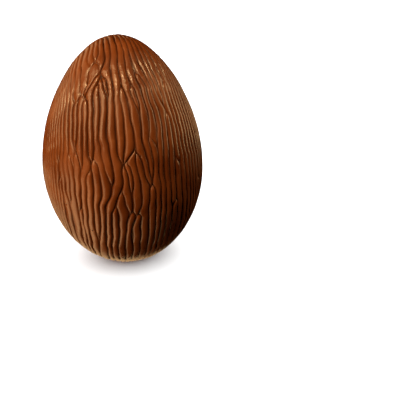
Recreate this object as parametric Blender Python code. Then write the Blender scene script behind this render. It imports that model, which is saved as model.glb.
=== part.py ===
"""A hollow-moulded milk chocolate egg with a bark texture, standing on its broad end.

The egg is one closed solid: nothing can be seen of its inside, so none is modelled.
It is cast in two half moulds that meet in the upright plane y = 0, and each half carries
long wavy ridges that run from the foot to the tip. The ridges keep their width on each half
instead of closing up at the tip, so each groove is a line of constant "span" across the half.

Metres, +Z up, front towards -Y, origin in the middle of the flat foot.
"""

import math
import random

import bmesh
import bpy

# The egg's outline: its radius at height z = HALF_LENGTH * level, for level from -1 to 1,
# is HALF_WIDTH * sqrt(1 - level^2) * (1 - TAPER * level - DRAW_IN * level^2).
HALF_LENGTH = 0.0749  # half the whole egg's length, before its foot is flattened
HALF_WIDTH = 0.0515  # radius at mid length, over the ridges
TAPER = 0.119  # makes the tip narrower than the broad end
DRAW_IN = 0.0587  # draws both ends in a little
FOOT_CUT = 0.0030  # height of the cap that is missing where the egg stands

# The bark ridges.
RIDGES = 32  # side by side across one half of the mould
GROOVE_DEPTH = 0.0011
SHALLOWEST_GROOVE = 0.35  # as a part of GROOVE_DEPTH
GROOVE_SHARE = 0.30  # part of a ridge's width taken by each flank of its groove
WIDTH_VARIATION = 0.34  # part by which a ridge swells and thins along its length
SWAY = 0.30  # sideways wander of all ridges together, in ridge widths
SWELLS_PER_HALF = 3.4  # most swellings along one ridge, foot to tip
STEPS_ALONG = 24  # mesh steps along one half's ridges, foot to tip
SNAP = 0.0004  # points this close to the foot's plane are moved into it
SEED = 11


class Wave:
    """A smooth wandering value from -1 to 1 along a ridge: a few sines at random phase."""

    def __init__(self, source):
        self.terms = []
        for octave in (0.35, 0.65, 1.0):
            turns = SWELLS_PER_HALF * octave * source.uniform(0.8, 1.2)
            self.terms.append((math.pi * turns, source.uniform(0.0, 2.0 * math.pi)))

    def __call__(self, height):
        return sum(math.sin(rate * height + phase) for rate, phase in self.terms) / len(self.terms)


def half_pattern(source):
    """The waves of one mould half: one for each ridge's width, one for each groove's depth."""
    widths = [Wave(source) for _ in range(RIDGES)]
    depths = [Wave(source) for _ in range(RIDGES + 1)]
    return widths, depths, Wave(source)


def groove_spans(pattern, height):
    """Where the grooves lie across a half, from -1 to 1, at one height from foot to tip."""
    widths, _, sway = pattern
    shares = [1.0 + WIDTH_VARIATION * wave(height) for wave in widths]
    whole = sum(shares)
    spans = [-1.0]
    for share in shares:
        spans.append(spans[-1] + 2.0 * share / whole)
    shift = 2.0 / RIDGES * SWAY * sway(height)
    return [span + shift * (1.0 - span * span) for span in spans]


def on_egg(span, height, side):
    """The point of the plain egg at a place of one half's flat map; side is -1 in front."""
    reach = min(1.0, math.hypot(span, height))
    turn = reach * math.pi / 2.0
    across = math.sin(turn) / reach if reach > 0.0 else math.pi / 2.0
    east, level = across * span, across * height
    fullness = HALF_WIDTH * (1.0 - TAPER * level - DRAW_IN * level * level)
    return (fullness * east, side * fullness * math.cos(turn), HALF_LENGTH * level)


def column_rules():
    """Each mesh column's place between two grooves, and its share of the groove's depth."""
    rules = []
    for ridge in range(RIDGES):
        if ridge > 0:
            rules.append((ridge, 0.0, 1.0))
        rules.append((ridge, GROOVE_SHARE, 0.12))
        rules.append((ridge, 1.0 - GROOVE_SHARE, 0.12))
    return rules


def ring(rule, evenly, patterns):
    """One closed loop of (point, depth): up the front of the egg and down its back."""
    ridge, place, depth_share = rule
    base_span = evenly[ridge] + place * (evenly[ridge + 1] - evenly[ridge])
    rim = math.sqrt(1.0 - base_span * base_span)
    loop = []
    for side, pattern, start in ((-1, patterns[0], -1.0), (1, patterns[1], 1.0)):
        for step in range(STEPS_ALONG):
            swing = start * math.cos(math.pi * step / STEPS_ALONG)
            height = rim * swing
            spans = groove_spans(pattern, height)
            wandered = spans[ridge] + place * (spans[ridge + 1] - spans[ridge])
            blend = 1.0 - swing**4  # both halves meet on the even spacing at the seam
            span = base_span + blend * (wandered - base_span)
            gate = 0.5 + 0.5 * pattern[1][ridge](height)
            depth = GROOVE_DEPTH * (SHALLOWEST_GROOVE + (1.0 - SHALLOWEST_GROOVE) * gate)
            loop.append((on_egg(span, height, side), depth * depth_share))
    return loop


def build_egg():
    """The ridged egg as a closed mesh of loops, each running round front, tip, back and foot."""
    source = random.Random(SEED)
    patterns = [half_pattern(source), half_pattern(source)]
    evenly = [2.0 * number / RIDGES - 1.0 for number in range(RIDGES + 1)]
    shape = bmesh.new()
    depths = {}
    loops = []
    for rule in column_rules():
        loop = []
        for point, depth in ring(rule, evenly, patterns):
            corner = shape.verts.new(point)
            depths[corner] = depth
            loop.append(corner)
        loops.append(loop)
    around = len(loops[0])
    for left, right in zip(loops, loops[1:]):
        for step in range(around):
            after = (step + 1) % around
            shape.faces.new((left[step], right[step], right[after], left[after]))
    for loop, flank in ((loops[0], -1), (loops[-1], 1)):
        pole = shape.verts.new((flank * HALF_WIDTH, 0.0, 0.0))
        depths[pole] = 0.0
        for step in range(around):
            shape.faces.new((pole, loop[step], loop[(step + 1) % around]))
    bmesh.ops.recalc_face_normals(shape, faces=shape.faces)
    shape.normal_update()
    carved = {corner: corner.co - depth * corner.normal for corner, depth in depths.items()}
    for corner, place in carved.items():
        corner.co = place
    return shape


def flatten_foot(shape):
    """Cuts the broad end off flat, and puts the origin in the middle of the foot."""
    foot = FOOT_CUT - HALF_LENGTH
    for corner in shape.verts:
        if abs(corner.co.z - foot) < SNAP:
            corner.co.z = foot
    everything = shape.verts[:] + shape.edges[:] + shape.faces[:]
    bmesh.ops.bisect_plane(
        shape, geom=everything, dist=1e-6, plane_co=(0, 0, foot), plane_no=(0, 0, -1), clear_outer=True
    )
    rim = [edge for edge in shape.edges if edge.is_boundary]
    bmesh.ops.edgeloop_fill(shape, edges=rim)
    bmesh.ops.recalc_face_normals(shape, faces=shape.faces)
    middle = []
    for axis in (0, 1):
        places = [corner.co[axis] for corner in shape.verts]
        middle.append((min(places) + max(places)) / 2.0)
    bmesh.ops.translate(shape, vec=(-middle[0], -middle[1], -foot), verts=shape.verts)


def milk_chocolate():
    """Tempered milk chocolate as it leaves the mould: warm brown with a satin gloss."""
    material = bpy.data.materials.new("milk_chocolate")
    material.use_nodes = True
    shader = material.node_tree.nodes["Principled BSDF"]
    shader.inputs["Base Color"].default_value = (0.195, 0.060, 0.018, 1.0)
    shader.inputs["Roughness"].default_value = 0.35
    shader.inputs["Metallic"].default_value = 0.0
    return material


def main():
    for thing in list(bpy.data.objects):
        bpy.data.objects.remove(thing)
    shape = build_egg()
    flatten_foot(shape)
    mesh = bpy.data.meshes.new("egg")
    shape.to_mesh(mesh)
    shape.free()
    mesh.shade_smooth()
    mesh.set_sharp_from_angle(angle=math.radians(50.0))
    mesh.materials.append(milk_chocolate())
    egg = bpy.data.objects.new("egg", mesh)
    bpy.context.scene.collection.objects.link(egg)


main()
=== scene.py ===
"""A moulded milk chocolate egg with a bark texture, standing on a pale table top.

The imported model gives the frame: its box sets the egg's size, and the egg made here takes its place.
Metres, +Z up. The seam between the two mould halves lies in the plane y = 0, the front faces -Y.
"""

import math

import bpy
import numpy as np
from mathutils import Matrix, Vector


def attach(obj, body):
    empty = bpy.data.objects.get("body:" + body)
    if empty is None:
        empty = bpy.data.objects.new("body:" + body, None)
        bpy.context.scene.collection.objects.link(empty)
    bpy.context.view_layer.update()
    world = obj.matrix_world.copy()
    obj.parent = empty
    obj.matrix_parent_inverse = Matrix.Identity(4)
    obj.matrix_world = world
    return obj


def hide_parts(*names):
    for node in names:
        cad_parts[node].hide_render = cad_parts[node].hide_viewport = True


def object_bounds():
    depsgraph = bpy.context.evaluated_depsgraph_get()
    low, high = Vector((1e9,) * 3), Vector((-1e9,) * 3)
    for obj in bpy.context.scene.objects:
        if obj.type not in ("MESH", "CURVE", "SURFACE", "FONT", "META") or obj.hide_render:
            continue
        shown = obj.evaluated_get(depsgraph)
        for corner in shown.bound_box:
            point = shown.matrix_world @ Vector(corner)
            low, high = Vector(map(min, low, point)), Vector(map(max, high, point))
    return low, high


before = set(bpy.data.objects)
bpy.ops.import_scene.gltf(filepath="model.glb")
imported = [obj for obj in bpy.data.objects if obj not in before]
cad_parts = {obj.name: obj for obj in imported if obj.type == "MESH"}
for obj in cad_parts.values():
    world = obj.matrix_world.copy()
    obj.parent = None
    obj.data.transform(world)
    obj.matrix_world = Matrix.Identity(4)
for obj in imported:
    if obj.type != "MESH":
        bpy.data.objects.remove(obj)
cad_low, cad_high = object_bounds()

# ---------------------------------------------------------------------------------------------------
# The bark strands: long ridges of chocolate, cast with the egg from what an engraver cut into each half
# of the mould. They run from the foot to the tip, and many stop or start on the way: an upper end is
# round, a lower end pointed. Places are on a flat map of one half, across it and up it, from -1 to 1.
# ---------------------------------------------------------------------------------------------------
LOW, HIGH = -1.0, 1.0  # the seam at the foot and at the tip
STEPS_ALONG = 124  # rows of points from the foot to the tip of one half
ROWS_PER_UNIT = STEPS_ALONG / (HIGH - LOW)  # of height on the map
SEED = 14

# Strands where none is listed.
LEFTMOST, RIGHTMOST = -0.98, 0.985  # places across between which they lie
PITCH = 0.042  # between two neighbours
PITCH_SHARES = (0.85, 1.15)  # the pitch varies between these shares of it
KINDS = 4  # one whole strand, two in line, two side by side, and one that ends early
TURNS = (-0.55, 0.65)  # heights between which one gives way to the next
GAP, OVERLAP = 0.08, 0.03  # in height, between two that follow one another, and beside one another
ASIDE = 0.25  # share of the pitch by which two that overlap lie to the side
SHORT_TOP, SHORT_VARIES = 0.5, 0.3  # how high one reaches that ends below the crowded tip

# Ends of strands, and the grooves between them.
HEAD_LENGTH, HEAD_POWER = 0.045, 0.55  # a round upper end: its length, and how blunt it is
TAIL_LENGTH, TAIL_POWER = 0.085, 1.0  # a pointed lower end
RELAY = 0.03  # the least height between two strands that follow one another in one file
HEIGHTS_COMPARED = 401  # at which the strands are set in order from left to right
STRAND_SOFTNESS, GROOVE_SOFTNESS = 0.02, 0.008  # lengths over which bends are rounded off
BLUR_REACH = 3.0  # spreads on each side that a blur takes in
WIDEST = 0.999  # the most that the square of a place across may be, so that its chord never closes up
SETTLING_ROUNDS = 3  # a height on the map depends on the place across, so both settle together
WANDERS = ((0.0040, 0.04), (0.0028, 0.018))  # the grooves' sideways wander: how far, and how soon it turns
WANDER_ACROSS = 1.2  # grooves that wander together
EVENLY = 0.01  # share of even spacing mixed in, so that a strand that ends never closes up to nothing
HOLD_AT_SEAM = 30  # power by which the back half's grooves meet the front's at the seam

# Depth of the grooves, as shares of the full depth.
DEPTH_MIDDLE, DEPTH_SPREAD = 0.85, 0.22  # the usual depth, and how much it varies
DEPTH_LEAST, DEPTH_MOST = 0.15, 1.1
DEPTH_CHANGES = 0.06  # length over which a groove's depth changes
DEPTH_ACROSS = 0.8  # grooves that are deep together
SHALLOWER = 0.3  # lost towards the seam at the sides
SHALLOWER_FROM, SHALLOWER_OVER = 0.4, 0.5  # where across the map that starts, and over what span it grows
DEEPER_UP = 0.25  # gained towards the tip, and lost towards the foot

# The strands in the front's middle, each by its course: (across, up) from the lower to the upper end.
FRONT_STRANDS = [
    [(-0.6, LOW), (-0.61, HIGH)],
    [(-0.55, -0.15), (-0.565, 0.1), (-0.565, HIGH)],
    [(-0.53, LOW), (-0.505, -0.3), (-0.52, 0.15)],
    [(-0.495, 0.06), (-0.515, 0.35), (-0.505, HIGH)],
    [(-0.48, LOW), (-0.465, -0.16)],
    [(-0.475, -0.2), (-0.468, 0.155)],
    [(-0.465, 0.18), (-0.472, 0.44)],
    [(-0.495, 0.4), (-0.475, 0.5), (-0.45, HIGH)],
    [(-0.432, 0.05), (-0.418, 0.46)],
    [(-0.44, LOW), (-0.43, -0.25), (-0.415, 0.0), (-0.385, 0.2), (-0.378, 0.44)],
    [(-0.354, 0.465), (-0.376, 0.52), (-0.385, 0.6), (-0.37, HIGH)],
    [(-0.4, LOW), (-0.388, -0.25), (-0.372, 0.06)],
    [(-0.352, 0.09), (-0.33, 0.3), (-0.325, 0.43), (-0.31, 0.5), (-0.282, 0.565)],
    [(-0.333, 0.46), (-0.317, 0.53), (-0.305, 0.6), (-0.28, 0.63), (-0.248, 0.655), (-0.222, 0.675)],
    [(-0.32, 0.64), (-0.312, 0.72), (-0.3, HIGH)],
    [(-0.268, 0.68), (-0.255, 0.76), (-0.245, HIGH)],
    [(-0.184, 0.6), (-0.186, 0.7), (-0.19, 0.78), (-0.19, HIGH)],
    [(-0.345, -0.37), (-0.315, 0.0), (-0.305, 0.115)],
    [(-0.33, LOW), (-0.3, -0.25), (-0.283, -0.145), (-0.25, -0.06), (-0.256, 0.02), (-0.266, 0.08),
     (-0.298, 0.14), (-0.29, 0.2), (-0.277, 0.35), (-0.283, 0.43), (-0.262, 0.515)],
    [(-0.202, -0.03), (-0.206, 0.02), (-0.223, 0.1), (-0.243, 0.2), (-0.225, 0.35), (-0.213, 0.45),
     (-0.226, 0.55)],
    [(-0.18, 0.42), (-0.188, 0.475), (-0.2, 0.555)],
    [(-0.28, LOW), (-0.258, -0.3), (-0.242, -0.14), (-0.205, -0.09), (-0.157, -0.04), (-0.15, 0.04),
     (-0.172, 0.1), (-0.182, 0.15), (-0.165, 0.3), (-0.15, 0.4), (-0.148, 0.6), (-0.13, HIGH)],
    [(-0.225, LOW), (-0.212, -0.15)],
    [(-0.175, LOW), (-0.15, -0.15), (-0.138, -0.06)],
    [(-0.136, 0.075), (-0.12, 0.12), (-0.112, 0.2), (-0.1, 0.3), (-0.099, 0.46), (-0.1, 0.56),
     (-0.085, 0.63), (-0.06, 0.73), (-0.05, HIGH)],
    [(-0.1, -0.2), (-0.096, -0.1), (-0.1, 0.0), (-0.098, 0.072)],
    [(-0.12, LOW), (-0.105, -0.28), (-0.07, -0.185)],
    [(-0.087, 0.07), (-0.07, 0.11), (-0.056, 0.15), (-0.045, 0.2), (-0.028, 0.33), (-0.043, 0.42),
     (-0.066, 0.475)],
    [(-0.062, -0.08), (-0.06, 0.0), (-0.07, 0.05), (-0.074, 0.085)],
    [(-0.036, -0.215), (-0.034, -0.1), (-0.028, 0.0), (-0.04, 0.05), (-0.042, 0.09), (-0.028, 0.135)],
    [(-0.07, LOW), (-0.05, -0.28), (-0.012, -0.195)],
    [(-0.01, LOW), (0.02, -0.2), (0.026, -0.08), (0.026, 0.0), (0.01, 0.06), (0.0, 0.125)],
    [(0.06, -0.07), (0.064, 0.03), (0.056, 0.09), (0.042, 0.13), (0.014, 0.18), (0.03, 0.25), (0.02, 0.38),
     (0.0, 0.48), (-0.012, 0.56), (0.0, 0.63), (0.012, 0.7), (0.02, HIGH)],
    [(0.062, 0.31), (0.05, 0.38), (0.042, 0.47)],
    [(0.04, LOW), (0.085, -0.2), (0.083, -0.05)],
    [(0.105, -0.04), (0.085, 0.1), (0.08, 0.2), (0.108, 0.3), (0.11, 0.36), (0.09, 0.46),
     (0.066, 0.53), (0.068, 0.6), (0.077, 0.67), (0.08, HIGH)],
    [(0.09, LOW), (0.13, -0.1), (0.135, 0.05), (0.128, 0.19)],
    [(0.148, 0.12), (0.165, 0.25), (0.16, 0.4), (0.148, 0.46), (0.13, 0.5), (0.104, 0.545)],
    [(0.14, LOW), (0.17, -0.05), (0.18, 0.05), (0.215, 0.25), (0.207, 0.4), (0.19, 0.46),
     (0.162, 0.54), (0.137, 0.61), (0.13, 0.7), (0.14, HIGH)],
    [(0.19, LOW), (0.22, -0.1), (0.23, 0.05), (0.262, 0.25), (0.25, 0.4), (0.225, 0.52), (0.2, 0.62),
     (0.195, HIGH)],
    [(0.24, LOW), (0.272, -0.17)],
    [(0.25, -0.22), (0.275, 0.0), (0.3, 0.2), (0.31, 0.3)],
    [(0.302, 0.33), (0.275, 0.5), (0.255, 0.65), (0.25, HIGH)],
    [(0.29, LOW), (0.32, -0.1), (0.325, 0.05)],
    [(0.34, 0.0), (0.355, 0.2), (0.335, 0.45), (0.312, 0.6), (0.31, HIGH)],
]


def drawn_strands(source, start, end):
    """The strands between two places across the map, drawn by the same habits as the listed ones."""
    strands = []
    place = start
    while place < end:
        turn = source.uniform(*TURNS)
        kind = source.integers(0, KINDS)
        if kind == 0:  # one whole strand
            strands.append([(place, LOW), (place, HIGH)])
        elif kind == 1:  # two, one after the other
            strands.append([(place, LOW), (place, turn)])
            strands.append([(place, turn + GAP), (place, HIGH)])
        elif kind == 2:  # two that pass side by side
            strands.append([(place, LOW), (place - ASIDE * PITCH, turn)])
            strands.append([(place + ASIDE * PITCH, turn - OVERLAP), (place, HIGH)])
        else:  # one that ends below the crowded tip
            strands.append([(place, LOW), (place, SHORT_TOP + SHORT_VARIES * turn)])
        place += PITCH * source.uniform(*PITCH_SHARES)
    return strands


def softly(values, spread, axis):
    """The values blurred along one axis, with the ends held."""
    reach = max(1, round(BLUR_REACH * spread))
    weights = np.exp(-0.5 * (np.arange(-reach, reach + 1) / spread) ** 2)
    weights /= weights.sum()
    margins = [(0, 0), (0, 0)]
    margins[axis] = (reach, reach)
    padded = np.pad(values, margins, mode="edge")
    return np.apply_along_axis(np.convolve, axis, padded, weights, "valid")


def wandering(source, shape, across, along):
    """Smooth random values of spread 1."""
    values = softly(softly(source.standard_normal(shape), across, 0), along, 1)
    return values / values.std()


def files_of(strands):
    """The number of the file that each strand lies in, counted from the left: strands that never share
    a height may follow one another in one file."""
    heights = np.linspace(LOW, HIGH, HEIGHTS_COMPARED)
    across = []
    for course in strands:
        across.append(np.interp(heights, [up for _, up in course], [place for place, _ in course]))
    across = np.array(across)
    lower = np.array([course[0][1] for course in strands])[:, None] - RELAY / 2.0
    upper = np.array([course[-1][1] for course in strands])[:, None] + RELAY / 2.0
    there = (heights >= lower) & (heights <= upper)
    shared = there[:, None, :] & there[None, :, :]
    apart = np.where(shared, across[:, None, :] - across[None, :, :], 0.0).sum(axis=-1)
    left_of = shared.any(axis=-1) & (apart < 0.0)
    files = np.zeros(len(strands), dtype=int)
    for _ in strands:
        files = np.max(np.where(left_of, files[:, None] + 1, 0), axis=0)
    return files


def fading(distance, length, power):
    """How much of a strand is left near an end: nothing at it, and all at a length from it."""
    return np.sin(math.pi / 2.0 * np.clip(distance / length, 0.0, 1.0)) ** power


def groove_lines(strands, files, count, source):
    """The grooves across the map, for each step along: each runs midway between the nearest strands on
    its two sides, and a strand that ends counts for less and less over its tip."""
    middles = np.zeros((count, len(swings)))
    present = np.zeros((count, len(swings)))
    for course, number in zip(strands, files):
        across = [place for place, _ in course]
        up = [height for _, height in course]
        place = np.interp(swings, up, across)
        for _ in range(SETTLING_ROUNDS):
            heights = np.sqrt(1.0 - np.minimum(place**2, WIDEST)) * swings
            place = np.interp(heights, up, across)
        share = np.ones(len(swings))
        if up[0] > LOW:
            share *= fading(heights - up[0], TAIL_LENGTH, TAIL_POWER)
        if up[-1] < HIGH:
            share *= fading(up[-1] - heights, HEAD_LENGTH, HEAD_POWER)
        place = softly(place[None], STRAND_SOFTNESS * ROWS_PER_UNIT, 1)[0]
        middles[number] = np.where(share > 0.0, place, middles[number])
        present[number] = np.maximum(present[number], share)
    nearest_left = [np.full(len(swings), -1.0)]
    for middle, share in zip(middles, present):
        last = nearest_left[-1]
        nearest_left.append(share * np.maximum(middle, last) + (1.0 - share) * last)
    nearest_right = [np.full(len(swings), 1.0)]
    for middle, share in zip(middles[::-1], present[::-1]):
        last = nearest_right[-1]
        nearest_right.append(share * np.minimum(middle, last) + (1.0 - share) * last)
    lines = (np.array(nearest_left) + np.array(nearest_right[::-1])) / 2.0
    lines = softly(lines, GROOVE_SOFTNESS * ROWS_PER_UNIT, 1)
    room = np.sqrt(1.0 - np.minimum(lines**2, 1.0))
    for amount, length in WANDERS:
        lines += amount * room * wandering(source, lines.shape, WANDER_ACROSS, length * ROWS_PER_UNIT)
    lines = np.maximum.accumulate(np.clip(lines, -1.0, 1.0), axis=0)
    lines[0], lines[-1] = -1.0, 1.0
    return (1.0 - EVENLY) * lines + EVENLY * np.linspace(-1.0, 1.0, count + 1)[:, None]


def on_the_map(lines):
    """Map points (line, step, 2) at which each line is as far along its chord as the step says."""
    chord = np.sqrt(np.maximum(0.0, 1.0 - lines**2))
    return np.stack([lines, chord * swings[None, :]], axis=-1)


swings = np.linspace(LOW, HIGH, STEPS_ALONG + 1)
source = np.random.default_rng(SEED)
first, last = FRONT_STRANDS[0][0][0], FRONT_STRANDS[-1][0][0]
front_strands = drawn_strands(source, LEFTMOST, first - PITCH / 2.0) + FRONT_STRANDS
front_strands += drawn_strands(source, last + PITCH, RIGHTMOST)
back_strands = drawn_strands(source, LEFTMOST, RIGHTMOST)
front_files, back_files = files_of(front_strands), files_of(back_strands)
STRANDS = int(max(front_files.max(), back_files.max())) + 1
front_lines = groove_lines(front_strands, front_files, STRANDS, source)
back_lines = groove_lines(back_strands, back_files, STRANDS, source)
hold = np.abs(swings)[None, :] ** HOLD_AT_SEAM
at_seam = np.where(swings[None, :] < 0.0, front_lines[:, :1], front_lines[:, -1:])
back_lines = back_lines * (1.0 - hold) + at_seam * hold

# The layout: a row of points for each step, up the front and down the back, with a depth for each.
ROWS = 2 * STEPS_ALONG + 1
layout_places = np.zeros((ROWS, STRANDS + 1, 3))
layout_places[: STEPS_ALONG + 1, :, :2] = on_the_map(front_lines).transpose(1, 0, 2)
layout_places[: STEPS_ALONG + 1, :, 2] = -1.0
layout_places[STEPS_ALONG:, :, :2] = on_the_map(back_lines).transpose(1, 0, 2)[::-1]
layout_places[STEPS_ALONG:, :, 2] = 1.0
layout_depths = wandering(source, (ROWS, STRANDS + 1), DEPTH_CHANGES * ROWS_PER_UNIT, DEPTH_ACROSS)
layout_depths = np.clip(DEPTH_MIDDLE + DEPTH_SPREAD * layout_depths, DEPTH_LEAST, DEPTH_MOST)
beyond = (np.abs(layout_places[:, :, 0]) - SHALLOWER_FROM) / SHALLOWER_OVER
layout_depths *= 1.0 - SHALLOWER * np.clip(beyond, 0.0, 1.0)
layout_depths *= 1.0 + DEEPER_UP * layout_places[:, :, 1]
closing = np.linspace(0.0, 1.0, ROWS)[:, None] ** HOLD_AT_SEAM
layout_depths = layout_depths * (1.0 - closing) + layout_depths[:1] * closing
layout_depths[:, [0, -1]] = 0.0
layout_mesh = bpy.data.meshes.new("strand_layout")
layout_mesh.from_pydata(layout_places.reshape(-1, 3).tolist(), [], [])
depth_values = layout_mesh.attributes.new("depth", "FLOAT", "POINT")
depth_values.data.foreach_set("value", layout_depths.ravel().astype(np.float32))
layout = bpy.data.objects.new("strand_layout", layout_mesh)
bpy.context.scene.collection.objects.link(layout)

# ---------------------------------------------------------------------------------------------------
# The egg: milk chocolate cast in two half moulds and joined while warm. Geometry Nodes lay a fine net
# along the strands, wrap it round the egg's outline, and press the grooves into it.
# ---------------------------------------------------------------------------------------------------
FOOT_CUT = 0.0030  # taken off the broad end, so that the egg stands
SIDE_RIDGE = 0.000224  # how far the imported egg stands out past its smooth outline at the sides
TIP_SUNK = 0.000102  # how far it ends below that outline at the tip
HALF_LENGTH = (cad_high[2] - cad_low[2] + FOOT_CUT + TIP_SUNK) / 2.0
HALF_WIDTH = (cad_high[0] - cad_low[0]) / 2.0 - SIDE_RIDGE
COLUMNS_PER_STRAND = 6
CROWDING = 0.78  # how far these crowd towards the grooves: 0 not at all, 1 fully
LEAST_REACH = 0.000001  # keeps the map's middle from a division by nothing
SAME_POINT = 0.0000005  # points nearer than this are one point, along the seam
EGG_INPUTS = {  # lengths in metres, shares of the half width, and places on the flat map
    "Half length": ("NodeSocketFloat", HALF_LENGTH),
    "Half width": ("NodeSocketFloat", HALF_WIDTH),
    "Taper": ("NodeSocketFloat", 0.119),
    "Draw in": ("NodeSocketFloat", 0.0587),
    "Foot cut": ("NodeSocketFloat", FOOT_CUT),
    "Groove depth": ("NodeSocketFloat", 0.0018),
    "Dish depth": ("NodeSocketFloat", 0.00035),
    "Full strand": ("NodeSocketFloat", 0.035),
    "Roundness": ("NodeSocketFloat", 3.2),
    "Lean": ("NodeSocketFloat", math.radians(-3.0)),
    "Unevenness": ("NodeSocketFloat", 0.0005),
    "Unevenness width": ("NodeSocketFloat", 0.012),
    "Wrinkle height": ("NodeSocketFloat", 0.0011),
    "Wrinkle width": ("NodeSocketFloat", 0.0034),
    "Wrinkles across": ("NodeSocketFloat", -0.16),
    "Wrinkles up": ("NodeSocketFloat", 0.52),
    "Wrinkled half span": ("NodeSocketFloat", 0.36),
    "Wrinkled half height": ("NodeSocketFloat", 0.10),
    "Seed": ("NodeSocketFloat", 3.0),
    "Layout": ("NodeSocketObject", layout),
    "Chocolate": ("NodeSocketMaterial", None),
}
PATCH_FADES = (1.2, 0.5)  # half spans from the wrinkled patch's middle: where it is gone, where it is full
DISH_SPAN = 0.62  # of a strand's half width, that the shallow hollow along it takes up
DISHED_FROM, DISHED_MOST = 0.4, 1.8  # widths, in full strands: the hollow's start, and where it is deepest
MATH, VECTOR_MATH, MIX = "ShaderNodeMath", "ShaderNodeVectorMath", "ShaderNodeMix"
NOISE, RANGE = "ShaderNodeTexNoise", "ShaderNodeMapRange"


def add(tree, kind, feeds=(), gives=0, **settings):
    """Adds a node with its settings. A feed that is a socket is linked, and any other is set as a value.
    It returns the output that gives names, or the node itself where gives is None."""
    node = tree.nodes.new(kind)
    for name, value in settings.items():
        setattr(node, name, value)
    for key, feed in feeds.items() if isinstance(feeds, dict) else enumerate(feeds):
        if isinstance(feed, bpy.types.NodeSocket):
            tree.links.new(feed, node.inputs[key])
        else:
            node.inputs[key].default_value = feed
    return node if gives is None else node.outputs[gives]


def colour(code):
    """An sRGB hex colour as linear red, green, blue and alpha."""
    parts = [int(code[start : start + 2], 16) / 255.0 for start in (0, 2, 4)]
    linear = [part / 12.92 if part <= 0.04045 else ((part + 0.055) / 1.055) ** 2.4 for part in parts]
    return (*linear, 1.0)


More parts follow.
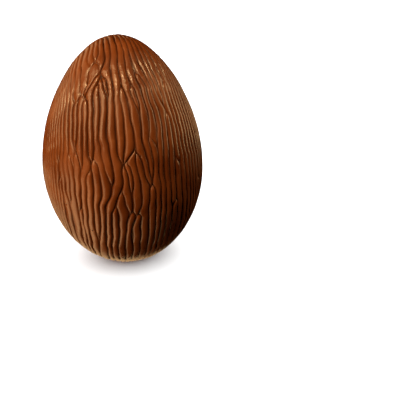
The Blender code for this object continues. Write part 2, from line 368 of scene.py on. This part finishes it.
def egg_tree():
    """The node tree that makes the egg from the strand layout."""
    tree = bpy.data.node_groups.new("bark_egg", "GeometryNodeTree")
    tree.interface.new_socket("Geometry", in_out="INPUT", socket_type="NodeSocketGeometry")
    tree.interface.new_socket("Geometry", in_out="OUTPUT", socket_type="NodeSocketGeometry")
    for name, (kind, value) in EGG_INPUTS.items():
        socket = tree.interface.new_socket(name, in_out="INPUT", socket_type=kind)
        if kind == "NodeSocketFloat":
            socket.default_value = value
    given = add(tree, "NodeGroupInput", gives=None).outputs

    # The net: one column of points for each place across each strand, one row for each step.
    columns = STRANDS * COLUMNS_PER_STRAND + 1
    net = add(tree, "GeometryNodeMeshGrid", {"Vertices X": columns, "Vertices Y": ROWS}, gives="Mesh")
    index = add(tree, "GeometryNodeInputIndex")
    column = add(tree, MATH, (index, 0.5), operation="ADD")
    column = add(tree, MATH, (column, float(ROWS)), operation="DIVIDE")
    column = add(tree, MATH, (column,), operation="FLOOR")
    row = add(tree, MATH, (column, -float(ROWS), index), operation="MULTIPLY_ADD")
    strand = add(tree, MATH, (column, 0.5), operation="ADD")
    strand = add(tree, MATH, (strand, float(COLUMNS_PER_STRAND)), operation="DIVIDE")
    strand = add(tree, MATH, (strand,), operation="FLOOR")
    strand = add(tree, MATH, (strand, float(STRANDS - 1)), operation="MINIMUM")
    evenly = add(tree, MATH, (column, float(COLUMNS_PER_STRAND)), operation="DIVIDE")
    evenly = add(tree, MATH, (evenly, strand), operation="SUBTRACT")
    crowd = add(tree, MATH, (evenly, math.tau), operation="MULTIPLY")
    crowd = add(tree, MATH, (crowd,), operation="SINE")
    place = add(tree, MATH, (crowd, -CROWDING / math.tau, evenly), operation="MULTIPLY_ADD")

    # The two groove lines beside each point, read from the layout.
    plan = add(tree, "GeometryNodeObjectInfo", {"Object": given["Layout"]}, gives="Geometry")
    position = add(tree, "GeometryNodeInputPosition")
    depth = add(tree, "GeometryNodeInputNamedAttribute", {"Name": "depth"}, data_type="FLOAT")
    left = add(tree, MATH, (row, float(STRANDS + 1), strand), operation="MULTIPLY_ADD")
    right = add(tree, MATH, (left, 1.0), operation="ADD")
    spots, cuts = [], []
    for number in (left, right):
        reading = {"Geometry": plan, "Value": position, "Index": number}
        spots.append(add(tree, "GeometryNodeSampleIndex", reading, data_type="FLOAT_VECTOR"))
        reading = {"Geometry": plan, "Value": depth, "Index": number}
        cuts.append(add(tree, "GeometryNodeSampleIndex", reading, data_type="FLOAT"))
    spot = add(tree, MIX, {0: place, 4: spots[0], 5: spots[1]}, gives=1, data_type="VECTOR")
    share = add(tree, MIX, {0: place, 2: cuts[0], 3: cuts[1]}, data_type="FLOAT")
    width = add(tree, VECTOR_MATH, spots, gives="Value", operation="DISTANCE")

    # The point's height on the map: as far along its chord as its row says, so the seam stays closed.
    across, _, half = add(tree, "ShaderNodeSeparateXYZ", (spot,), gives=None).outputs
    swing = add(tree, MATH, (row, float(STEPS_ALONG)), operation="DIVIDE")
    swing = add(tree, MATH, (swing, 1.0), operation="SUBTRACT")
    swing = add(tree, MATH, (swing,), operation="ABSOLUTE")
    swing = add(tree, MATH, (swing, -2.0, 1.0), operation="MULTIPLY_ADD")
    chord = add(tree, MATH, (across, across), operation="MULTIPLY")
    chord = add(tree, MATH, (1.0, chord), operation="SUBTRACT")
    chord = add(tree, MATH, (chord, 0.0), operation="MAXIMUM")
    chord = add(tree, MATH, (chord,), operation="SQRT")
    up = add(tree, MATH, (chord, swing), operation="MULTIPLY")

    # From the flat map to a unit ball, which leans a little to the left.
    flat = add(tree, "ShaderNodeCombineXYZ", (across, up, 0.0))
    reach = add(tree, VECTOR_MATH, (flat,), gives="Value", operation="LENGTH")
    turn = add(tree, MATH, (reach, math.pi / 2.0), operation="MULTIPLY")
    outward = add(tree, MATH, (turn,), operation="COSINE")
    outward = add(tree, MATH, (outward, half), operation="MULTIPLY")
    reach = add(tree, MATH, (reach, LEAST_REACH), operation="MAXIMUM")
    scale = add(tree, MATH, (turn,), operation="SINE")
    scale = add(tree, MATH, (scale, reach), operation="DIVIDE")
    ball_across = add(tree, MATH, (across, scale), operation="MULTIPLY")
    ball_up = add(tree, MATH, (up, scale), operation="MULTIPLY")
    ball = add(tree, "ShaderNodeCombineXYZ", (ball_across, outward, ball_up))
    leaning = {"Vector": ball, "Angle": given["Lean"]}
    ball = add(tree, "ShaderNodeVectorRotate", leaning, rotation_type="Y_AXIS")
    east, north, level = add(tree, "ShaderNodeSeparateXYZ", (ball,), gives=None).outputs

    # From the ball to the egg's outline: the girth tapers to the tip, and draws in at both ends.
    tapering = add(tree, MATH, (given["Taper"], level), operation="MULTIPLY")
    drawing = add(tree, MATH, (given["Draw in"], level), operation="MULTIPLY")
    fullness = add(tree, MATH, (drawing, level, tapering), operation="MULTIPLY_ADD")
    fullness = add(tree, MATH, (1.0, fullness), operation="SUBTRACT")
    radius = add(tree, MATH, (fullness, given["Half width"]), operation="MULTIPLY")
    shell_x = add(tree, MATH, (east, radius), operation="MULTIPLY")
    shell_y = add(tree, MATH, (north, radius), operation="MULTIPLY")
    shell_z = add(tree, MATH, (level, given["Half length"]), operation="MULTIPLY")
    shell = add(tree, "ShaderNodeCombineXYZ", (shell_x, shell_y, shell_z))

    # The outline's outward direction, from how its girth changes with height.
    steepness = add(tree, MATH, (drawing, 2.0, given["Taper"]), operation="MULTIPLY_ADD")
    roundness = add(tree, MATH, (level, level), operation="MULTIPLY")
    roundness = add(tree, MATH, (1.0, roundness), operation="SUBTRACT")
    slope = add(tree, MATH, (fullness, level), operation="MULTIPLY")
    slope = add(tree, MATH, (steepness, roundness, slope), operation="MULTIPLY_ADD")
    stoutness = add(tree, MATH, (given["Half width"], given["Half length"]), operation="DIVIDE")
    slope = add(tree, MATH, (slope, stoutness), operation="MULTIPLY")
    normal = add(tree, "ShaderNodeCombineXYZ", (east, north, slope))
    normal = add(tree, VECTOR_MATH, (normal,), operation="NORMALIZE")

    # The wrinkled patch near the front's tip, where the chocolate crept while it was warm.
    aside = add(tree, MATH, (across, given["Wrinkles across"]), operation="SUBTRACT")
    aside = add(tree, MATH, (aside, given["Wrinkled half span"]), operation="DIVIDE")
    above = add(tree, MATH, (up, given["Wrinkles up"]), operation="SUBTRACT")
    above = add(tree, MATH, (above, given["Wrinkled half height"]), operation="DIVIDE")
    behind = add(tree, MATH, (half, 1.0), operation="ADD")
    from_patch = add(tree, "ShaderNodeCombineXYZ", (aside, above, behind))
    from_patch = add(tree, VECTOR_MATH, (from_patch,), gives="Value", operation="LENGTH")
    fading_out = {"Value": from_patch, "From Min": PATCH_FADES[0], "From Max": PATCH_FADES[1]}
    wrinkled = add(tree, RANGE, fading_out, interpolation_type="SMOOTHSTEP")
    fineness = add(tree, MATH, (1.0, given["Wrinkle width"]), operation="DIVIDE")
    creases = {"Vector": shell, "W": given["Seed"], "Scale": fineness, "Detail": 1.0, "Distortion": 0.6}
    folds = add(tree, NOISE, creases, noise_dimensions="4D")
    folds = add(tree, MATH, (folds, 2.0, -1.0), operation="MULTIPLY_ADD")
    folds = add(tree, MATH, (folds, given["Wrinkle height"]), operation="MULTIPLY")
    folds = add(tree, MATH, (folds, wrinkled), operation="MULTIPLY")

    # The grooves: flat-topped strands with sharp valleys, sinking where a strand runs out.
    beside = add(tree, MATH, (place, 2.0, -1.0), operation="MULTIPLY_ADD")
    beside = add(tree, MATH, (beside,), operation="ABSOLUTE")
    crown = add(tree, MATH, (beside, given["Roundness"]), operation="POWER")
    crown = add(tree, MATH, (1.0, crown), operation="SUBTRACT")
    rising = {"Value": width, "From Min": 0.0, "From Max": given["Full strand"]}
    stand = add(tree, RANGE, rising, interpolation_type="SMOOTHSTEP")
    sunk = add(tree, MATH, (crown, stand), operation="MULTIPLY")
    sunk = add(tree, MATH, (1.0, sunk), operation="SUBTRACT")
    sunk = add(tree, MATH, (sunk, share), operation="MULTIPLY")
    grooves = add(tree, MATH, (sunk, given["Groove depth"]), operation="MULTIPLY")

    # The shallow hollow along the broad strands, where the chocolate shrank as it cooled.
    breadth = add(tree, MATH, (width, given["Full strand"]), operation="DIVIDE")
    breadth = add(tree, MATH, (breadth, DISHED_MOST), operation="MINIMUM")
    breadth = add(tree, MATH, (breadth, DISHED_FROM), operation="SUBTRACT")
    breadth = add(tree, MATH, (breadth, 0.0), operation="MAXIMUM")
    dishing = {"Value": beside, "From Min": DISH_SPAN, "From Max": 0.0}
    hollow = add(tree, RANGE, dishing, interpolation_type="SMOOTHSTEP")
    hollow = add(tree, MATH, (hollow, breadth), operation="MULTIPLY")
    hollow = add(tree, MATH, (hollow, given["Dish depth"]), operation="MULTIPLY")

    # The casting's gentle unevenness, and everything together.
    coarseness = add(tree, MATH, (1.0, given["Unevenness width"]), operation="DIVIDE")
    swelling = {"Vector": shell, "W": given["Seed"], "Scale": coarseness, "Detail": 2.0}
    uneven = add(tree, NOISE, swelling, noise_dimensions="4D")
    uneven = add(tree, MATH, (uneven, 0.5), operation="SUBTRACT")
    raised = add(tree, MATH, (uneven, given["Unevenness"], folds), operation="MULTIPLY_ADD")
    raised = add(tree, MATH, (raised, grooves), operation="SUBTRACT")
    raised = add(tree, MATH, (raised, hollow), operation="SUBTRACT")
    offset = add(tree, VECTOR_MATH, {0: normal, "Scale": raised}, operation="SCALE")
    carved = add(tree, VECTOR_MATH, (shell, offset), operation="ADD")

    # The small flat foot, with the origin in its middle.
    x, y, z = add(tree, "ShaderNodeSeparateXYZ", (carved,), gives=None).outputs
    lift = add(tree, MATH, (given["Half length"], given["Foot cut"]), operation="SUBTRACT")
    z = add(tree, MATH, (z, lift), operation="ADD")
    z = add(tree, MATH, (z, 0.0), operation="MAXIMUM")
    standing = add(tree, "ShaderNodeCombineXYZ", (x, y, z))

    made = net
    # groove: how far down a groove a point lies; the material darkens it as painted shade
    for name, value in (("groove", sunk), ("wrinkled", wrinkled)):
        storing = {"Geometry": made, "Name": name, "Value": value}
        made = add(tree, "GeometryNodeStoreNamedAttribute", storing, data_type="FLOAT", domain="POINT")
    made = add(tree, "GeometryNodeSetPosition", {"Geometry": made, "Position": standing})
    made = add(tree, "GeometryNodeMergeByDistance", {"Geometry": made, "Distance": SAME_POINT})
    made = add(tree, "GeometryNodeSetShadeSmooth", {"Geometry": made, "Shade Smooth": True})
    made = add(tree, "GeometryNodeRealizeInstances", {"Geometry": made})
    made = add(tree, "GeometryNodeSetMaterial", {"Geometry": made, "Material": given["Chocolate"]})
    add(tree, "NodeGroupOutput", (made,), gives=None)
    return tree


# the groove colour is painted shade, laid into the grooves where shade falls
CHOCOLATE_COLOURS = {"deep": "5E2F12", "full": "733F1E", "groove": "401D0B", "rubbed": "8E5A36"}
CHOCOLATE_IOR = 1.5
SATIN = 0.25  # roughness of the clean cast face
CLOUDS_DULL, GROOVES_DULL, WRINKLES_GLOSS = 0.06, 0.08, 0.03  # added to or taken from it
CLOUD_WIDTH, CLOUD_EDGES = 0.022, (0.35, 0.65)  # the soft paler and darker patches in the cast chocolate
RUBBED_EDGES, RUBBED_MOST = (0.52, 0.75), 0.35  # where the surface is rubbed pale, and how much at the most
GROOVE_SHADE_POWER, GROOVE_SHADE_MOST = 1.5, 0.8  # painted shade in the grooves: how soon it sets in, and how dark it gets
CRUMPLE_WIDTH, CRUMPLE_HEIGHT, CRUMPLE_TWIST = 0.0024, 0.00035, 1.5  # fine folds in the wrinkled patch
RIPPLE_WIDTH, RIPPLE_HEIGHT = 0.0022, 0.00007  # the mould's fine unevenness, as wide as the rubbed specks
GRAIN_WIDTH, GRAIN_LENGTH, GRAIN_HEIGHT = 0.0009, 0.0070, 0.00003  # engraver's marks, drawn coarser to show
BUBBLE_SPACING, BUBBLE_RADIUS, BUBBLE_DEPTH = 0.014, 0.0009, 0.0006  # small air bubbles against the mould
SEAM_HALF_WIDTH, SEAM_HEIGHT = 0.0004, 0.0001  # the hairline where the two halves meet


def milk_chocolate():
    """Tempered milk chocolate, moulded: a smooth satin brown with a soft sheen, painted darker in the grooves
    as shade, glossier where it crept while warm, and rubbed a little pale on its tops."""
    material = bpy.data.materials.new("milk_chocolate_moulded")
    material.use_nodes = True
    tree = material.node_tree
    shader = tree.nodes["Principled BSDF"]
    shader.inputs["IOR"].default_value = CHOCOLATE_IOR
    here = add(tree, "ShaderNodeTexCoord", gives="Object")
    groove = add(tree, "ShaderNodeAttribute", gives="Fac", attribute_name="groove")
    wrinkled = add(tree, "ShaderNodeAttribute", gives="Fac", attribute_name="wrinkled")
    browns = {name: colour(code) for name, code in CHOCOLATE_COLOURS.items()}

    # Colour: clouded brown, rubbed pale in specks, and painted shade that darkens the grooves.
    clouds = add(tree, NOISE, {"Vector": here, "Scale": 1.0 / CLOUD_WIDTH, "Detail": 3.0})
    clouds = add(tree, RANGE, {"Value": clouds, "From Min": CLOUD_EDGES[0], "From Max": CLOUD_EDGES[1]})
    body = add(tree, MIX, {0: clouds, 6: browns["deep"], 7: browns["full"]}, gives=2, data_type="RGBA")
    rubbing = add(tree, NOISE, {"Vector": here, "Scale": 1.0 / RIPPLE_WIDTH, "Detail": 4.0})
    edges = {"From Min": RUBBED_EDGES[0], "From Max": RUBBED_EDGES[1], "To Max": RUBBED_MOST}
    rubbing = add(tree, RANGE, {"Value": rubbing, **edges})
    rubbing = add(tree, MATH, (rubbing, clouds), operation="MULTIPLY")
    body = add(tree, MIX, {0: rubbing, 6: body, 7: browns["rubbed"]}, gives=2, data_type="RGBA")
    groove_shade = add(tree, MATH, (groove, GROOVE_SHADE_POWER), operation="POWER")
    groove_shade = add(tree, MATH, (groove_shade, GROOVE_SHADE_MOST), operation="MULTIPLY")
    body = add(tree, MIX, {0: groove_shade, 6: body, 7: browns["groove"]}, gives=2, data_type="RGBA")
    tree.links.new(body, shader.inputs["Base Color"])

    # Sheen: satin, a little duller in the clouds and the grooves, glossier in the wrinkles.
    satin = add(tree, MATH, (clouds, CLOUDS_DULL, SATIN), operation="MULTIPLY_ADD")
    satin = add(tree, MATH, (groove, GROOVES_DULL, satin), operation="MULTIPLY_ADD")
    satin = add(tree, MATH, (wrinkled, -WRINKLES_GLOSS, satin), operation="MULTIPLY_ADD")
    tree.links.new(satin, shader.inputs["Roughness"])

    # Fine relief: folds, ripple, grain along the strands, the seam's hairline and a few bubbles.
    folding = {"Vector": here, "Scale": 1.0 / CRUMPLE_WIDTH, "Detail": 1.0, "Distortion": CRUMPLE_TWIST}
    relief = add(tree, NOISE, folding)
    relief = add(tree, MATH, (relief, wrinkled), operation="MULTIPLY")
    relief = add(tree, MATH, (relief, CRUMPLE_HEIGHT), operation="MULTIPLY")
    ripples = add(tree, NOISE, {"Vector": here, "Scale": 1.0 / RIPPLE_WIDTH, "Detail": 2.0})
    relief = add(tree, MATH, (ripples, RIPPLE_HEIGHT, relief), operation="MULTIPLY_ADD")
    drawn_out = {"Vector": here, "Scale": (1.0, 1.0, GRAIN_WIDTH / GRAIN_LENGTH)}
    drawn_out = add(tree, "ShaderNodeMapping", drawn_out)
    grain = add(tree, NOISE, {"Vector": drawn_out, "Scale": 1.0 / GRAIN_WIDTH, "Detail": 1.0})
    relief = add(tree, MATH, (grain, GRAIN_HEIGHT, relief), operation="MULTIPLY_ADD")
    from_seam = add(tree, "ShaderNodeSeparateXYZ", (here,), gives="Y")
    from_seam = add(tree, MATH, (from_seam,), operation="ABSOLUTE")
    hairline = {"Value": from_seam, "From Min": SEAM_HALF_WIDTH, "From Max": 0.0}
    seam = add(tree, RANGE, hairline, interpolation_type="SMOOTHSTEP")
    relief = add(tree, MATH, (seam, SEAM_HEIGHT, relief), operation="MULTIPLY_ADD")
    spacing = {"Vector": here, "Scale": 1.0 / BUBBLE_SPACING}
    bubble = add(tree, "ShaderNodeTexVoronoi", spacing, gives="Distance")
    rim = {"Value": bubble, "From Min": BUBBLE_RADIUS / BUBBLE_SPACING, "From Max": 0.0}
    bubble = add(tree, RANGE, rim, interpolation_type="SMOOTHSTEP")
    relief = add(tree, MATH, (bubble, -BUBBLE_DEPTH, relief), operation="MULTIPLY_ADD")
    bump = add(tree, "ShaderNodeBump", {"Height": relief, "Distance": 1.0, "Strength": 1.0})
    tree.links.new(bump, shader.inputs["Normal"])
    return material


def plain_mesh_of(piece, name):
    """The evaluated piece as a plain mesh object of its own."""
    graph = bpy.context.evaluated_depsgraph_get()
    mesh = bpy.data.meshes.new_from_object(piece.evaluated_get(graph))
    mesh.name = name
    made = bpy.data.objects.new(name, mesh)
    bpy.context.scene.collection.objects.link(made)
    bpy.data.objects.remove(piece)
    return made


chocolate = milk_chocolate()
maker = bpy.data.objects.new("egg_maker", bpy.data.meshes.new("egg_maker"))
bpy.context.scene.collection.objects.link(maker)
nodes_modifier = maker.modifiers.new("bark_egg", "NODES")
nodes_modifier.node_group = egg_tree()
for item in nodes_modifier.node_group.interface.items_tree:
    if item.in_out == "INPUT" and item.name in EGG_INPUTS:
        value = chocolate if item.name == "Chocolate" else EGG_INPUTS[item.name][1]
        nodes_modifier[item.identifier] = value
egg = plain_mesh_of(maker, "bark_egg")
bpy.data.objects.remove(layout)
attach(egg, "root")
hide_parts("egg")

# ---------------------------------------------------------------------------------------------------
# The table top: one wide sheet of white paper, matt and evenly lit, so that it runs out to plain white.
# It is only the stage that the egg stands on.
# ---------------------------------------------------------------------------------------------------
PAPER_REACH = 60.0  # half the sheet's side, far past the edge of every view
PAPER_ROUGHNESS = 0.9


def paper_material():
    """White uncoated paper: matt, with no shine of its own."""
    material = bpy.data.materials.new("white_paper_matt")
    material.use_nodes = True
    shader = material.node_tree.nodes["Principled BSDF"]
    shader.inputs["Base Color"].default_value = colour("F4F4F4")
    shader.inputs["Roughness"].default_value = PAPER_ROUGHNESS
    shader.inputs["Specular IOR Level"].default_value = 0.0
    return material


paper_mesh = bpy.data.meshes.new("table_top")
corners = [(x * PAPER_REACH, y * PAPER_REACH, 0.0) for x, y in ((-1, -1), (1, -1), (1, 1), (-1, 1))]
paper_mesh.from_pydata(corners, [], [(0, 1, 2, 3)])
paper_mesh.materials.append(paper_material())
table_top = bpy.data.objects.new("table_top", paper_mesh)
bpy.context.scene.collection.objects.link(table_top)
table_top.visible_diffuse = False
table_top.visible_glossy = False
table_top.visible_shadow = False

# ---------------------------------------------------------------------------------------------------
# The light: warm soft boxes for the chocolate, the big one at the upper left, and an even white sky for
# the paper. Each set lights only its own, so that the paper is white and the egg's far side stays deep.
# ---------------------------------------------------------------------------------------------------
LAMP_COLOUR = "FFD093"
SOFT_BOXES = {  # azimuth (0 is the front, 90 the right), elevation, distance, side in metres, watts
    "front_left": (-66.0, 36.0, 0.80, 0.70, 8.6),
    "left_below": (-85.0, -36.0, 0.80, 0.80, 5.8),
    "behind_below": (-170.0, -40.0, 0.80, 0.70, 2.0),
    "left_behind": (-150.0, 25.0, 0.80, 0.60, 1.4),
    "right_above": (68.0, 50.0, 0.80, 0.60, 0.6),
    "right_behind": (98.0, 14.0, 0.80, 0.50, 3.1),
    "right_low": (130.0, 2.0, 0.80, 0.50, 0.4),
    "small_lamp": (-30.0, 58.0, 0.80, 0.06, 4.2),
}
AIMED_AT = Vector((0.0, 0.0, 0.07))
SKY_STRENGTH, SKY_SPREAD = 7.4, math.radians(150.0)


def lit_only(lamp, piece):
    """Makes a lamp light one piece only."""
    receivers = bpy.data.collections.new(lamp.name + "_lights")
    receivers.objects.link(piece)
    lamp.light_linking.receiver_collection = receivers


for name, (azimuth, elevation, distance, side, watts) in SOFT_BOXES.items():
    light = bpy.data.lights.new(name, "AREA")
    light.shape = "SQUARE"
    light.size = side
    light.energy = watts
    light.color = colour(LAMP_COLOUR)[:3]
    lamp = bpy.data.objects.new(name, light)
    turn, rise = math.radians(azimuth), math.radians(elevation)
    away = Vector((math.sin(turn) * math.cos(rise), -math.cos(turn) * math.cos(rise), math.sin(rise)))
    lamp.location = AIMED_AT + distance * away
    lamp.rotation_euler = away.to_track_quat("Z", "Y").to_euler()
    bpy.context.scene.collection.objects.link(lamp)
    lit_only(lamp, egg)

sky_light = bpy.data.lights.new("even_sky", "SUN")
sky_light.energy = SKY_STRENGTH
sky_light.angle = SKY_SPREAD
sky = bpy.data.objects.new("even_sky", sky_light)
bpy.context.scene.collection.objects.link(sky)
lit_only(sky, table_top)

world = bpy.data.worlds.new("white_backdrop")
world.use_nodes = True
world.node_tree.nodes["Background"].inputs["Color"].default_value = (1.0, 1.0, 1.0, 1.0)
world.node_tree.nodes["Background"].inputs["Strength"].default_value = 1.0
world.cycles_visibility.diffuse = False
world.cycles_visibility.glossy = False
world.cycles_visibility.transmission = False
bpy.context.scene.world = world
bpy.context.scene.view_settings.view_transform = "Standard"

# ---------------------------------------------------------------------------------------------------
# The camera: a 50 mm lens a little above the egg, to the left of the front's middle. It looks past the
# egg, which so shows at the upper left.
# ---------------------------------------------------------------------------------------------------
AZIMUTH, DOWNWARD = math.radians(-18.0), math.radians(23.0)
DISTANCE = 0.3828  # to the egg's middle
LENS, SENSOR = 50.0, 36.0  # millimetres
NEAREST_SHOWN = 0.01
EGG_ASIDE, EGG_ABOVE = -0.2028, 0.1323  # where the egg's middle shows, in sensor widths from the centre
camera_data = bpy.data.cameras.new("camera")
camera_data.lens = LENS
camera_data.sensor_width = SENSOR
camera_data.clip_start = NEAREST_SHOWN
camera = bpy.data.objects.new("camera", camera_data)
ahead = (-math.sin(AZIMUTH) * math.cos(DOWNWARD), math.cos(AZIMUTH) * math.cos(DOWNWARD), -math.sin(DOWNWARD))
ahead = Vector(ahead)
sideways = Vector((math.cos(AZIMUTH), math.sin(AZIMUTH), 0.0))
upright = sideways.cross(ahead)
sight = (ahead * (LENS / SENSOR) + sideways * EGG_ASIDE + upright * EGG_ABOVE).normalized()
egg_middle = Vector((0.0, 0.0, HALF_LENGTH - FOOT_CUT))
camera.location = egg_middle - sight * DISTANCE
camera.rotation_euler = (-ahead).to_track_quat("Z", "Y").to_euler()
bpy.context.scene.collection.objects.link(camera)
bpy.context.scene.camera = camera
